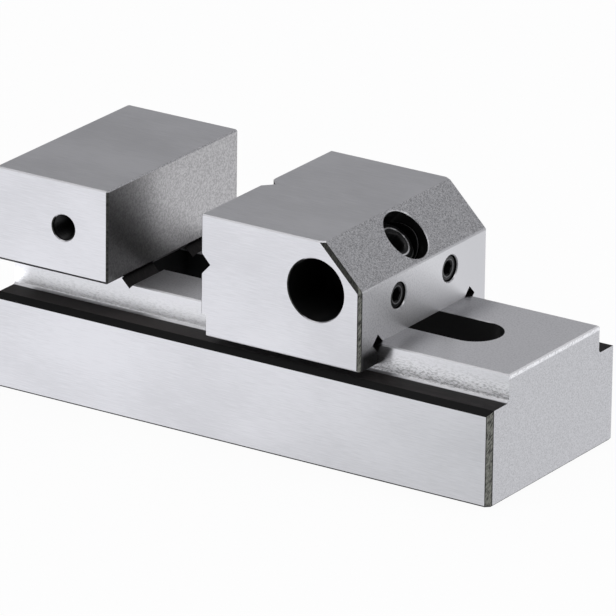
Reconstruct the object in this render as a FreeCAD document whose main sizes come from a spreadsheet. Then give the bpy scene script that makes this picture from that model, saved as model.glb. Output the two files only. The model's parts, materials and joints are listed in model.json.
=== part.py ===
import FreeCAD, Part
import math
import os

import Sketcher

# A small toolmaker's vise, ground all over, with a jaw that a slanted screw pulls down and in.
# The frame stands on the middle of the base: +X runs from the fixed jaw to the open end of the
# rail, +Z is up, and -Y is the long side that faces the viewer. Lengths are in millimetres.

SIZES = {
    # base, rail and fixed jaw, ground from one block
    "base_length": 88.0,
    "base_width": 35.0,
    "flange_height": 15.1,
    "rail_height": 19.45,
    "groove_depth": 4.9,
    "groove_ceiling": 20.45,
    "ceiling_bevel": 0.5,
    "jaw_height": 35.3,
    "fixed_jaw_length": 20.3,
    "corner_chamfer": 0.85,
    "jaw_end_chamfer": 0.3,
    "flange_chamfer": 0.9,
    "foot_radius": 0.5,
    "edge_break": 0.2,
    "bottom_break": 0.35,
    # slot in the rail and pocket under it
    "slot_width": 8.7,
    "slot_under_jaw": 0.8,
    "slot_rise": 0.6,
    "slot_to_end": 9.6,
    "slot_break": 0.15,
    "pocket_width": 20.0,
    "pocket_ceiling": 10.6,
    "pocket_corner": 4.0,
    "pocket_wall_jaw": 11.0,
    "pocket_wall_end": 8.0,
    # notches that the anchor pin is drawn up into
    "notch_pitch": 8.4,
    "notches_to_close": 2,
    "notches_to_open": 3,
    "notch_axis_height": 9.5,
    "notch_clearance": 0.05,
    # relief cuts, so that ground faces meet without a fillet
    "relief_width": 2.0,
    "relief_angle": 45.0,
    "fixed_relief_reach": 0.1,
    "sliding_relief_reach": 1.0,
    # stop holes in the sides of the fixed jaw
    "stop_hole_diameter": 4.0,
    "stop_hole_depth": 9.0,
    "stop_hole_setback": 8.0,
    "stop_hole_height": 28.0,
    # sliding jaw
    "sliding_jaw_length": 28.1,
    "slant_size": 6.6,
    "leg_bottom": 16.3,
    "leg_setback": 1.0,
    "leg_step_rise": 0.3,
    "guide_clearance": 0.03,
    "rear_chamfer": 0.55,
    "vee_half_width": 1.8,
    "vee_depth": 1.65,
    "vee_height": 27.6,
    # cross bore, swivel trunnion and the screws
    "bore_diameter": 9.7,
    "bore_height_share": 0.51104,
    "bore_off_slope_middle": 0.1,
    "hole_break": 0.18,
    "screw_angle": 45.0,
    "screw_hole_diameter": 8.3,
    "trunnion_length": 18.0,
    "trunnion_clearance": 0.03,
    "head_diameter": 7.0,
    "head_height": 4.0,
    "head_break": 0.35,
    "head_seat": 0.0,
    "socket_mouth_diameter": 4.0,
    "socket_cone_angle": 30.0,
    "counterbore_diameter": 7.2,
    "screw_diameter": 4.0,
    "screw_length": 30.0,
    "screw_tip": 0.5,
    "screw_passage_diameter": 4.4,
    "hex_across_flats": 3.0,
    "hex_depth": 2.0,
    "thread_lead": 0.7,
    "thread_clearance": 0.03,
    # anchor pin
    "pin_diameter": 7.0,
    "pin_end_gap": 0.2,
    "pin_slide_gap": 0.35,
    "pin_chamfer": 0.4,
    # set screws that keep the trunnion in the middle
    "set_screw_diameter": 4.0,
    "set_screw_spacing": 14.1,
    "set_screw_under_knee": 3.4,
    "set_screw_recess": 0.35,
    "set_screw_dog_diameter": 2.5,
    "set_screw_dog_length": 1.4,
    "set_screw_mouth_diameter": 2.7,
    "set_screw_hex": 2.0,
    "set_screw_hex_depth": 1.6,
    "trunnion_groove_width": 3.0,
    "trunnion_groove_depth": 1.35,
    "set_screw_tip_gap": 0.25,
}

doc = FreeCAD.newDocument("precision_vise")


def make_sheet():
    """Writes every driving size into a spreadsheet, one row each."""
    table = doc.addObject("Spreadsheet::Sheet", "Sizes")
    for row, (name, value) in enumerate(SIZES.items(), start=1):
        table.set(f"A{row}", name)
        table.set(f"B{row}", str(value))
        table.setAlias(f"B{row}", name)
    doc.recompute()
    return table


sheet = make_sheet()


def size(name):
    """The value of one cell of the sheet."""
    return float(sheet.get(name))


# Two places are the same when they are closer than this.
SAME = 1e-4
SIXTH_TURN = 60
FULL_TURN = 360.0

# Lengths that follow from the sheet, written as expressions for the sketches.
PAST = "1"  # how far a cutting outline runs past the metal
JAW_FACE = "(Sizes.fixed_jaw_length - Sizes.base_length / 2)"
RAIL_HALF = "(Sizes.base_width / 2 - Sizes.groove_depth)"
OPENING = "(Sizes.notches_to_close * Sizes.notch_pitch)"
REST_FACE = f"({JAW_FACE} + {OPENING})"
JAW_RISE = "(Sizes.jaw_height - Sizes.rail_height)"
BORE_HEIGHT = f"(Sizes.rail_height + Sizes.bore_height_share * {JAW_RISE})"
SLOPE_DROP = "(Sizes.jaw_height - Sizes.sliding_jaw_length + Sizes.bore_off_slope_middle)"
BORE_SETBACK = f"({BORE_HEIGHT} - {SLOPE_DROP})"
SET_SCREW_HEIGHT = "(Sizes.jaw_height - Sizes.slant_size - Sizes.set_screw_under_knee)"
SEAT_RUN = f"(({BORE_HEIGHT} - Sizes.notch_axis_height) / tan(Sizes.screw_angle))"
FIRST_NOTCH = f"({JAW_FACE} + {BORE_SETBACK} - {SEAT_RUN})"
SLOT_RADIUS = "(Sizes.slot_width / 2)"
SLOT_START = f"({JAW_FACE} - Sizes.slot_under_jaw)"
SLOT_STOP = f"(Sizes.base_length / 2 - Sizes.slot_to_end - {SLOT_RADIUS})"


def bore_centre():
    """Setback and height of the cross bore in the jaw, worked out as the sketches do it."""
    rail = size("rail_height")
    top = size("jaw_height")
    height = rail + size("bore_height_share") * (top - rail)
    setback = height - top + size("sliding_jaw_length") - size("bore_off_slope_middle")
    return setback, height


def new_body(name):
    body = doc.addObject("PartDesign::Body", name)
    body.Label = name
    return body


def origin_feature(body, role):
    return next(item for item in body.Origin.OriginFeatures if item.Role == role)


def new_sketch(body, name, role, lift=None):
    """A sketch on one of the body's own origin planes, lifted along its normal if asked."""
    sketch = body.newObject("Sketcher::SketchObject", name)
    sketch.AttachmentSupport = [(origin_feature(body, role), "")]
    sketch.MapMode = "FlatFace"
    if lift is not None:
        sketch.setExpression("AttachmentOffset.Base.z", lift)
    return sketch


def pin_point(sketch, geometry, point, x_rule, y_rule, start):
    """Fixes a sketch point at a place given by two expressions."""
    label = f"{geometry}_{point}"
    x_place = Sketcher.Constraint("DistanceX", -1, 1, geometry, point, start.x)
    y_place = Sketcher.Constraint("DistanceY", -1, 1, geometry, point, start.y)
    x_index = sketch.addConstraint(x_place)
    y_index = sketch.addConstraint(y_place)
    sketch.renameConstraint(x_index, f"across_{label}")
    sketch.renameConstraint(y_index, f"up_{label}")
    sketch.setExpression(f"Constraints.across_{label}", x_rule)
    sketch.setExpression(f"Constraints.up_{label}", y_rule)


def draw_outline(sketch, corners):
    """A closed run of straight lines whose corners are pairs of expressions."""
    count = len(corners)
    first = sketch.GeometryCount
    spread = [
        FreeCAD.Vector(math.cos(2 * math.pi * n / count), math.sin(2 * math.pi * n / count), 0)
        for n in range(count)
    ]
    for n in range(count):
        sketch.addGeometry(Part.LineSegment(spread[n], spread[(n + 1) % count]), False)
    for n in range(count):
        following = first + (n + 1) % count
        sketch.addConstraint(Sketcher.Constraint("Coincident", first + n, 2, following, 1))
    for n, (x_rule, y_rule) in enumerate(corners):
        pin_point(sketch, first + n, 1, x_rule, y_rule, spread[n])


def draw_circle(sketch, x_rule, y_rule, radius_rule):
    index = sketch.GeometryCount
    start = FreeCAD.Vector(1, 1, 0)
    sketch.addGeometry(Part.Circle(start, FreeCAD.Vector(0, 0, 1), 1.0), False)
    pin_point(sketch, index, 3, x_rule, y_rule, start)
    radius_index = sketch.addConstraint(Sketcher.Constraint("Radius", index, 1.0))
    sketch.renameConstraint(radius_index, f"radius_{index}")
    sketch.setExpression(f"Constraints.radius_{index}", radius_rule)


def draw_round_ended_slot(sketch, left_rule, right_rule, radius_rule):
    """A slot along the sketch's own X axis: two lines closed by two half circles."""
    up = FreeCAD.Vector(0, 0, 1)
    left = FreeCAD.Vector(-2, 0, 0)
    right = FreeCAD.Vector(2, 0, 0)
    quarter = math.pi / 2
    sketch.addGeometry(Part.ArcOfCircle(Part.Circle(left, up, 1.0), quarter, 3 * quarter), False)
    sketch.addGeometry(Part.ArcOfCircle(Part.Circle(right, up, 1.0), -quarter, quarter), False)
    sketch.addGeometry(Part.LineSegment(FreeCAD.Vector(-2, 1, 0), FreeCAD.Vector(2, 1, 0)), False)
    sketch.addGeometry(Part.LineSegment(FreeCAD.Vector(-2, -1, 0), FreeCAD.Vector(2, -1, 0)), False)
    for ends in ((2, 1, 0, 1), (2, 2, 1, 2), (3, 1, 0, 2), (3, 2, 1, 1)):
        sketch.addConstraint(Sketcher.Constraint("Coincident", *ends))
    for arc in (0, 1):
        sketch.addConstraint(Sketcher.Constraint("Vertical", arc, 3, arc, 1))
        sketch.addConstraint(Sketcher.Constraint("Vertical", arc, 3, arc, 2))
    sketch.addConstraint(Sketcher.Constraint("Equal", 0, 1))
    pin_point(sketch, 0, 3, left_rule, "0", left)
    pin_point(sketch, 1, 3, right_rule, "0", right)
    radius_index = sketch.addConstraint(Sketcher.Constraint("Radius", 0, 1.0))
    sketch.renameConstraint(radius_index, "radius")
    sketch.setExpression("Constraints.radius", radius_rule)


def extrude(body, kind, name, sketch, length=None, midplane=False, reversed_way=False):
    """A Pad or a Pocket; a Pocket with no length goes right through."""
    feature = body.newObject(f"PartDesign::{kind}", name)
    feature.Profile = sketch
    feature.Midplane = midplane
    feature.Reversed = reversed_way
    if length is None:
        feature.Type = "ThroughAll"
    else:
        feature.setExpression("Length", length)
    sketch.Visibility = False
    doc.recompute()
    return feature


def turn(body, kind, name, sketch, axis):
    """A Revolution or a Groove through a full circle."""
    feature = body.newObject(f"PartDesign::{kind}", name)
    feature.Profile = sketch
    feature.ReferenceAxis = axis
    feature.Angle = FULL_TURN
    sketch.Visibility = False
    doc.recompute()
    return feature


def straight_edges(body, wanted):
    """Names of the body's straight edges whose middle and direction pass the test."""
    names = []
    for number, edge in enumerate(body.Tip.Shape.Edges, start=1):
        if isinstance(edge.Curve, Part.Line):
            middle = edge.valueAt((edge.FirstParameter + edge.LastParameter) / 2)
            if wanted(middle, edge.tangentAt(edge.FirstParameter)):
                names.append(f"Edge{number}")
    return names


def round_edges(body, wanted):
    """Names of the body's curved edges whose centre of mass passes the test."""
    names = []
    for number, edge in enumerate(body.Tip.Shape.Edges, start=1):
        if not isinstance(edge.Curve, Part.Line) and wanted(edge.CenterOfMass, edge.Length):
            names.append(f"Edge{number}")
    return names


def dress(body, kind, name, edges, rule):
    """A Chamfer or a Fillet on named edges of the body as it stands."""
    if not edges:
        raise ValueError(f"{name} finds no edge")
    base = body.Tip
    feature = body.newObject(f"PartDesign::{kind}", name)
    feature.Base = (base, edges)
    feature.setExpression("Size" if kind == "Chamfer" else "Radius", rule)
    doc.recompute()
    return feature


def near(a, b):
    return abs(a - b) < SAME


def along(way, axis):
    """True where a direction is parallel to the named axis, x, y or z."""
    return near(abs(getattr(way, axis)), 1.0)


def turned(x_rule, y_rule, along_rule, across_rule, angle_rule):
    """A point given along and across a line that leaves a centre at an angle."""
    cosine = f"cos({angle_rule})"
    sine = f"sin({angle_rule})"
    x_place = f"{x_rule} + ({along_rule}) * {cosine} - ({across_rule}) * {sine}"
    y_place = f"{y_rule} + ({along_rule}) * {sine} + ({across_rule}) * {cosine}"
    return x_place, y_place


def cut_grooves(body):
    """The long side grooves, with bevels on the flange below and on the jaw above them."""
    sketch = new_sketch(body, "groove_outline", "YZ_Plane")
    edge = "Sizes.base_width / 2"
    for side in ("-", ""):
        draw_outline(sketch, [
            (f"{side}{RAIL_HALF}", "Sizes.flange_height"),
            (f"{side}({edge} - Sizes.flange_chamfer)", "Sizes.flange_height"),
            (f"{side}({edge} + {PAST})", f"Sizes.flange_height - Sizes.flange_chamfer - {PAST}"),
            (f"{side}({edge} + {PAST})", f"Sizes.groove_ceiling + Sizes.ceiling_bevel + {PAST}"),
            (f"{side}({edge} - Sizes.ceiling_bevel)", "Sizes.groove_ceiling"),
            (f"{side}{RAIL_HALF}", "Sizes.groove_ceiling"),
        ])
    extrude(body, "Pocket", "side_grooves", sketch, midplane=True)


def cut_fixed_relief(body):
    """The slanted cut in the corner between the rail and the fixed jaw."""
    sketch = new_sketch(body, "fixed_relief_outline", "XZ_Plane")
    corner = (JAW_FACE, "Sizes.rail_height")
    half = "Sizes.relief_width / 2"
    angle = "Sizes.relief_angle"
    draw_outline(sketch, [
        turned(*corner, "-Sizes.fixed_relief_reach", f"-{half}", angle),
        turned(*corner, "Sizes.relief_width", f"-{half}", angle),
        turned(*corner, "Sizes.relief_width", half, angle),
        turned(*corner, "-Sizes.fixed_relief_reach", half, angle),
    ])
    extrude(body, "Pocket", "fixed_relief", sketch, midplane=True)


def cut_screw_way(body):
    """The slot for the screw, the pocket under it and the row of notches in its ceiling.

    The slot is milled from below and runs a little way under the fixed jaw, into the relief.
    """
    slot = new_sketch(body, "slot_outline", "XY_Plane")
    draw_round_ended_slot(slot, SLOT_START, SLOT_STOP, SLOT_RADIUS)
    rise = "Sizes.rail_height + Sizes.slot_rise"
    extrude(body, "Pocket", "screw_slot", slot, rise, reversed_way=True)
    slot_side = size("slot_width") / 2
    top = size("rail_height")
    rim = straight_edges(
        body, lambda at, way: along(way, "x") and near(abs(at.y), slot_side) and near(at.z, top)
    )
    rim += round_edges(body, lambda at, length: near(at.z, top) and near(at.y, 0) and at.x > 0)
    dress(body, "Chamfer", "slot_rim", rim, "Sizes.slot_break")

    pocket = new_sketch(body, "pocket_outline", "XY_Plane")
    left = "-Sizes.base_length / 2 + Sizes.pocket_wall_jaw"
    right = "Sizes.base_length / 2 - Sizes.pocket_wall_end"
    half = "Sizes.pocket_width / 2"
    draw_outline(pocket, [(left, f"-{half}"), (right, f"-{half}"), (right, half), (left, half)])
    extrude(body, "Pocket", "pin_pocket", pocket, "Sizes.pocket_ceiling", reversed_way=True)
    side = size("pocket_width") / 2
    middle = size("pocket_ceiling") / 2
    corners = straight_edges(
        body, lambda at, way: along(way, "z") and near(abs(at.y), side) and near(at.z, middle)
    )
    dress(body, "Fillet", "pocket_corners", corners, "Sizes.pocket_corner")

    notch = new_sketch(body, "notch_outline", "XZ_Plane")
    radius = "Sizes.pin_diameter / 2 + Sizes.notch_clearance"
    draw_circle(notch, FIRST_NOTCH, "Sizes.notch_axis_height", radius)
    first = extrude(body, "Pocket", "first_notch", notch, "Sizes.pocket_width", midplane=True)
    row = body.newObject("PartDesign::LinearPattern", "notch_row")
    row.Originals = [first]
    row.Direction = (origin_feature(body, "X_Axis"), [""])
    steps = "(Sizes.notches_to_close + Sizes.notches_to_open)"
    row.setExpression("Length", f"{steps} * Sizes.notch_pitch")
    row.setExpression("Occurrences", f"{steps} + 1")
    body.Tip = row
    doc.recompute()


def cut_stop_holes(body):
    """The threaded stop hole in the front of the fixed jaw, and its twin at the back."""
    sketch = new_sketch(body, "stop_hole_outline", "XZ_Plane", "Sizes.base_width / 2")
    across = f"{JAW_FACE} - Sizes.stop_hole_setback"
    draw_circle(sketch, across, "Sizes.stop_hole_height", "Sizes.stop_hole_diameter / 2")
    front = extrude(body, "Pocket", "stop_hole_front", sketch, "Sizes.stop_hole_depth")
    twin = body.newObject("PartDesign::Mirrored", "stop_hole_back")
    twin.Originals = [front]
    twin.MirrorPlane = (origin_feature(body, "XZ_Plane"), [""])
    body.Tip = twin
    doc.recompute()
    side = size("base_width") / 2
    mouths = round_edges(body, lambda at, length: near(abs(at.y), side))
    dress(body, "Chamfer", "hole_breaks", mouths, "Sizes.hole_break")


def finish_vise_body(body):
    """Bevels on the ends of the block, the foot of the rail and small breaks on the edges."""
    end = size("base_length") / 2
    side = size("base_width") / 2
    rail = side - size("groove_depth")
    face = size("fixed_jaw_length") - end
    top = size("jaw_height")
    rail_top = size("rail_height")
    flange_top = size("flange_height")

    foot = straight_edges(
        body, lambda at, way: along(way, "x") and near(abs(at.y), rail) and near(at.z, flange_top)
    )
    dress(body, "Fillet", "rail_foot", foot, "Sizes.foot_radius")
    corners = straight_edges(
        body, lambda at, way: along(way, "z") and near(at.x, end) and near(abs(at.y), side)
    )
    dress(body, "Chamfer", "end_corners", corners, "Sizes.corner_chamfer")
    jaw_corners = straight_edges(
        body,
        lambda at, way: along(way, "z") and near(abs(at.y), side)
        and (near(at.x, -end) or near(at.x, face)),
    )
    dress(body, "Chamfer", "jaw_corners", jaw_corners, "Sizes.jaw_end_chamfer")
    outer = straight_edges(
        body,
        lambda at, way: near(at.z, top)
        or (along(way, "x") and near(abs(at.y), rail) and near(at.z, rail_top))
        or (along(way, "y") and near(at.x, end) and near(at.z, rail_top)),
    )
    dress(body, "Chamfer", "outer_breaks", outer, "Sizes.edge_break")
    lowest = straight_edges(
        body,
        lambda at, way: near(at.z, 0) and (
            near(abs(at.y), side) or near(abs(at.x), end)
            or near(at.x + abs(at.y), end + side - size("corner_chamfer"))
            or near(abs(at.y) - at.x, end + side - size("jaw_end_chamfer"))),
    )
    dress(body, "Chamfer", "bottom_breaks", lowest, "Sizes.bottom_break")


def make_vise_body():
    """Base, rail and fixed jaw: one block, milled from its side view."""
    body = new_body("vise_body")
    profile = new_sketch(body, "side_profile", "XZ_Plane")
    end = "Sizes.base_length / 2"
    draw_outline(profile, [
        (f"-{end}", "0"),
        (end, "0"),
        (end, "Sizes.rail_height"),
        (JAW_FACE, "Sizes.rail_height"),
        (JAW_FACE, "Sizes.jaw_height"),
        (f"-{end}", "Sizes.jaw_height"),
    ])
    extrude(body, "Pad", "block", profile, "Sizes.base_width", midplane=True)
    cut_grooves(body)
    cut_fixed_relief(body)
    finish_vise_body(body)
    cut_screw_way(body)
    cut_stop_holes(body)
    return body


def cut_channel(body):
    """The channel that straddles the rail, with a slanted relief in each upper corner."""
    sketch = new_sketch(body, "channel_outline", "YZ_Plane")
    half = f"({RAIL_HALF} + Sizes.guide_clearance)"
    top = "Sizes.rail_height"
    below = f"Sizes.leg_bottom - {PAST}"
    reach = "Sizes.sliding_relief_reach"
    across = "Sizes.relief_width / 2"
    angle = "Sizes.relief_angle"
    mirrored_angle = "(180 - Sizes.relief_angle)"
    shoulder_down = f"({across} / cos({angle}))"
    shoulder_in = f"({across} / sin({angle}))"
    draw_outline(sketch, [
        (f"-{half}", below),
        (f"-{half}", f"{top} - {shoulder_down}"),
        turned(f"-{half}", top, reach, across, mirrored_angle),
        turned(f"-{half}", top, reach, f"-{across}", mirrored_angle),
        (f"-{half} + {shoulder_in}", top),
        (f"{half} - {shoulder_in}", top),
        turned(half, top, reach, across, angle),
        turned(half, top, reach, f"-{across}", angle),
        (half, f"{top} - {shoulder_down}"),
        (half, below),
    ])
    extrude(body, "Pocket", "channel", sketch, midplane=True)


def cut_vees(body):
    """The vee grooves in the clamping face, one upright and one level, for round work."""
    half = "Sizes.vee_half_width"
    upright = new_sketch(body, "upright_vee_outline", "XY_Plane")
    draw_outline(upright, [
        (f"-{PAST}", half), ("0", half), ("Sizes.vee_depth", "0"), ("0", f"-{half}"),
        (f"-{PAST}", f"-{half}"),
    ])
    extrude(body, "Pocket", "upright_vee", upright, midplane=True)
    level = new_sketch(body, "level_vee_outline", "XZ_Plane")
    low = f"Sizes.vee_height - {half}"
    high = f"Sizes.vee_height + {half}"
    draw_outline(level, [
        (f"-{PAST}", low), ("0", low), ("Sizes.vee_depth", "Sizes.vee_height"), ("0", high),
        (f"-{PAST}", high),
    ])
    extrude(body, "Pocket", "level_vee", level, midplane=True)


def cut_jaw_holes(body):
    """The cross bore, the slanted screw hole through it and the two set screw holes."""
    bore = new_sketch(body, "bore_outline", "XZ_Plane")
    draw_circle(bore, BORE_SETBACK, BORE_HEIGHT, "Sizes.bore_diameter / 2")
    extrude(body, "Pocket", "cross_bore", bore, midplane=True)

    hole = new_sketch(body, "screw_hole_outline", "XZ_Plane")
    centre = (BORE_SETBACK, BORE_HEIGHT)
    angle = "Sizes.screw_angle"
    radius = "Sizes.screw_hole_diameter / 2"
    down = f"-(({BORE_HEIGHT} - Sizes.rail_height) / sin({angle}) + {radius} + {PAST})"
    up = f"Sizes.slant_size + {radius}"
    draw_outline(hole, [
        turned(*centre, down, "0", angle),
        turned(*centre, up, "0", angle),
        turned(*centre, up, radius, angle),
        turned(*centre, down, radius, angle),
    ])
    start = FreeCAD.Vector(0, 0, 0)
    stop = FreeCAD.Vector(1, 1, 0)
    axis = hole.GeometryCount
    hole.addGeometry(Part.LineSegment(start, stop), True)
    pin_point(hole, axis, 1, *centre, start)
    pin_point(hole, axis, 2, *turned(*centre, up, "0", angle), stop)
    turn(body, "Groove", "screw_hole", hole, (hole, ["Axis0"]))

    taps = new_sketch(body, "set_screw_holes_outline", "YZ_Plane", BORE_SETBACK)
    tap_radius = "Sizes.set_screw_diameter / 2 + Sizes.thread_clearance"
    for side in ("-", ""):
        draw_circle(taps, f"{side}Sizes.set_screw_spacing / 2", SET_SCREW_HEIGHT, tap_radius)
    extrude(body, "Pocket", "set_screw_holes", taps, reversed_way=True)


def finish_sliding_jaw(body):
    """The wide bevels down the slanted and rear side edges, and small breaks elsewhere."""
    long = size("sliding_jaw_length")
    side = size("base_width") / 2
    top = size("jaw_height")
    slant = size("slant_size")
    knee = top - slant
    floor = size("rail_height") + size("leg_step_rise")
    setback, _ = bore_centre()

    wide = straight_edges(
        body,
        lambda at, way: near(abs(at.y), side)
        and (near(at.x, long) or near(at.x - (long - slant), top - at.z)),
    )
    dress(body, "Chamfer", "rear_bevels", wide, "Sizes.rear_chamfer")
    breaks = straight_edges(
        body,
        lambda at, way: (near(at.z, top) and not (along(way, "y") and near(at.x, long - slant)))
        or (along(way, "z") and near(at.x, 0) and near(abs(at.y), side) and at.z > floor)
        or (along(way, "y") and near(at.x, long) and near(at.z, knee))
        or (along(way, "x") and near(abs(at.y), side) and near(at.z, size("leg_bottom"))),
    )
    dress(body, "Chamfer", "jaw_breaks", breaks, "Sizes.edge_break")
    mouths = round_edges(
        body,
        lambda at, length: (near(abs(at.y), side) and near(at.x, setback))
        or (near(at.x, long) and at.z > floor)
        or (near(at.x - (long - slant), top - at.z) and near(at.y, 0)),
    )
    dress(body, "Chamfer", "jaw_hole_breaks", mouths, "Sizes.hole_break")


def make_sliding_jaw():
    """The jaw that slides on the rail, drawn from its clamping face backwards."""
    body = new_body("sliding_jaw")
    profile = new_sketch(body, "jaw_profile", "XZ_Plane")
    long = "Sizes.sliding_jaw_length"
    top = "Sizes.jaw_height"
    step = "Sizes.rail_height + Sizes.leg_step_rise"
    draw_outline(profile, [
        ("0", step),
        ("0", top),
        (f"{long} - Sizes.slant_size", top),
        (long, f"{top} - Sizes.slant_size"),
        (long, "Sizes.leg_bottom"),
        ("Sizes.leg_setback", "Sizes.leg_bottom"),
        ("Sizes.leg_setback", step),
    ])
    extrude(body, "Pad", "jaw_block", profile, "Sizes.base_width", midplane=True)
    cut_channel(body)
    cut_vees(body)
    cut_jaw_holes(body)
    finish_sliding_jaw(body)
    body.setExpression("Placement.Base.x", REST_FACE)
    return body


def make_trunnion():
    """The round cross piece that the screw head seats in, so that the screw can swivel."""
    body = new_body("trunnion")
    section = new_sketch(body, "trunnion_outline", "XZ_Plane")
    radius = "(Sizes.bore_diameter / 2 - Sizes.trunnion_clearance)"
    draw_circle(section, "0", "0", radius)
    extrude(body, "Pad", "trunnion_bar", section, "Sizes.trunnion_length", midplane=True)
    rims = round_edges(body, lambda at, length: near(abs(at.y), size("trunnion_length") / 2))
    dress(body, "Chamfer", "trunnion_breaks", rims, "Sizes.pin_chamfer")

    grooves = new_sketch(body, "trunnion_groove_outline", "YZ_Plane")
    half = "Sizes.trunnion_groove_width / 2"
    root = f"{radius} - Sizes.trunnion_groove_depth"
    for side in ("-", ""):
        centre = f"{side}Sizes.set_screw_spacing / 2"
        draw_outline(grooves, [
            (f"{centre} - {half}", root), (f"{centre} + {half}", root),
            (f"{centre} + {half}", f"{radius} + {PAST}"), (f"{centre} - {half}", f"{radius} + {PAST}"),
        ])
    turn(body, "Groove", "trunnion_grooves", grooves, (origin_feature(body, "Y_Axis"), [""]))

    seat = new_sketch(body, "counterbore_outline", "XY_Plane", "Sizes.head_seat")
    draw_circle(seat, "0", "0", "Sizes.counterbore_diameter / 2")
    extrude(body, "Pocket", "counterbore", seat, reversed_way=True)
    passage = new_sketch(body, "passage_outline", "XY_Plane")
    draw_circle(passage, "0", "0", "Sizes.screw_passage_diameter / 2")
    extrude(body, "Pocket", "screw_passage", passage, midplane=True)
    return body


def cut_hexagon(body, name, flats_rule, depth_rule, lift_rule, role="XY_Plane"):
    """A six-sided key socket sunk from a plane of the body."""
    sketch = new_sketch(body, f"{name}_outline", role, lift_rule)
    reach = f"({flats_rule}) / sqrt(3)"
    draw_outline(sketch, [
        (f"{reach} * cos({SIXTH_TURN * n})", f"{reach} * sin({SIXTH_TURN * n})")
        for n in range(6)
    ])
    return extrude(body, "Pocket", name, sketch, depth_rule)


def make_clamp_screw():
    """A socket-head cap screw, head up, with its seat on the origin."""
    body = new_body("clamp_screw")
    profile = new_sketch(body, "screw_profile", "XZ_Plane")
    shank = "Sizes.screw_diameter / 2"
    head = "Sizes.head_diameter / 2"
    draw_outline(profile, [
        ("0", "-Sizes.screw_length"),
        (f"{shank} - Sizes.screw_tip", "-Sizes.screw_length"),
        (shank, "Sizes.screw_tip - Sizes.screw_length"),
        (shank, "0"),
        (head, "0"),
        (head, "Sizes.head_height - Sizes.head_break"),
        (f"{head} - Sizes.head_break", "Sizes.head_height"),
        ("Sizes.socket_mouth_diameter / 2", "Sizes.head_height"),
        ("0", "Sizes.head_height - Sizes.socket_mouth_diameter / 2 * tan(Sizes.socket_cone_angle)"),
    ])
    turn(body, "Revolution", "screw_turned", profile, (origin_feature(body, "Z_Axis"), [""]))
    cut_hexagon(body, "screw_socket", "Sizes.hex_across_flats", "Sizes.hex_depth",
                "Sizes.head_height")
    return body


def make_anchor_pin():
    """The round cross pin under the rail that the screw threads into."""
    body = new_body("anchor_pin")
    section = new_sketch(body, "pin_outline", "XZ_Plane")
    draw_circle(section, "0", "0", "Sizes.pin_diameter / 2")
    long = "(Sizes.pocket_width - 2 * Sizes.pin_end_gap)"
    extrude(body, "Pad", "pin_bar", section, long, midplane=True)
    end = size("pocket_width") / 2 - size("pin_end_gap")
    rims = round_edges(body, lambda at, length: near(abs(at.y), end))
    dress(body, "Chamfer", "pin_breaks", rims, "Sizes.pin_chamfer")
    tapped = new_sketch(body, "pin_thread_outline", "XY_Plane")
    draw_circle(tapped, "0", "0", "Sizes.screw_diameter / 2 + Sizes.thread_clearance")
    extrude(body, "Pocket", "pin_thread", tapped, midplane=True)
    return body


def make_set_screw(name, side):
    """A dog-point set screw lying along X, with its socket end on the origin."""
    body = new_body(name)
    profile = new_sketch(body, f"{name}_profile", "XZ_Plane")
    radius = "Sizes.set_screw_diameter / 2"
    dog = "Sizes.set_screw_dog_diameter / 2"
    outer = "(Sizes.sliding_jaw_length - Sizes.set_screw_recess)"
    root = ("(Sizes.bore_diameter / 2 - Sizes.trunnion_clearance - Sizes.trunnion_groove_depth"
            " + Sizes.set_screw_tip_gap)")
    drop = f"({BORE_HEIGHT} - {SET_SCREW_HEIGHT} - {dog})"
    tip = f"({BORE_SETBACK} + sqrt({root} ^ 2 - {drop} ^ 2) - {outer})"
    draw_outline(profile, [
        ("-Sizes.set_screw_mouth_diameter / 2 * tan(Sizes.socket_cone_angle)", "0"),
        ("0", "Sizes.set_screw_mouth_diameter / 2"),
        ("0", f"{radius} - Sizes.edge_break"),
        ("-Sizes.edge_break", radius),
        (f"{tip} + Sizes.set_screw_dog_length + Sizes.edge_break", radius),
        (f"{tip} + Sizes.set_screw_dog_length", f"{radius} - Sizes.edge_break"),
        (f"{tip} + Sizes.set_screw_dog_length", dog),
        (tip, dog),
        (tip, "0"),
    ])
    turn(body, "Revolution", f"{name}_turned", profile, (origin_feature(body, "X_Axis"), [""]))
    cut_hexagon(body, f"{name}_socket", "Sizes.set_screw_hex", "Sizes.set_screw_hex_depth",
                None, "YZ_Plane")
    body.setExpression("Placement.Base.x", f"{REST_FACE} + {outer}")
    body.setExpression("Placement.Base.y", f"{side}Sizes.set_screw_spacing / 2")
    body.setExpression("Placement.Base.z", SET_SCREW_HEIGHT)
    return body


def swivel_facts():
    """Where the swivel lies, and how far the slack screw hangs from its tight line."""
    face = size("fixed_jaw_length") - size("base_length") / 2
    opening = size("notches_to_close") * size("notch_pitch")
    setback, height = bore_centre()
    centre = FreeCAD.Vector(face + opening + setback, 0, height)
    rise = height - size("notch_axis_height")
    run = rise / math.tan(math.radians(size("screw_angle")))
    ceiling_gap = size("notch_axis_height") + size("pin_diameter") / 2 - size("pocket_ceiling")
    drop = ceiling_gap + size("pin_slide_gap")
    slack_angle = math.degrees(math.atan2(rise + drop, run))
    tight_arm = math.hypot(run, rise)
    slack_arm = math.hypot(run, rise + drop)
    return centre, slack_angle, slack_arm, tight_arm


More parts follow.
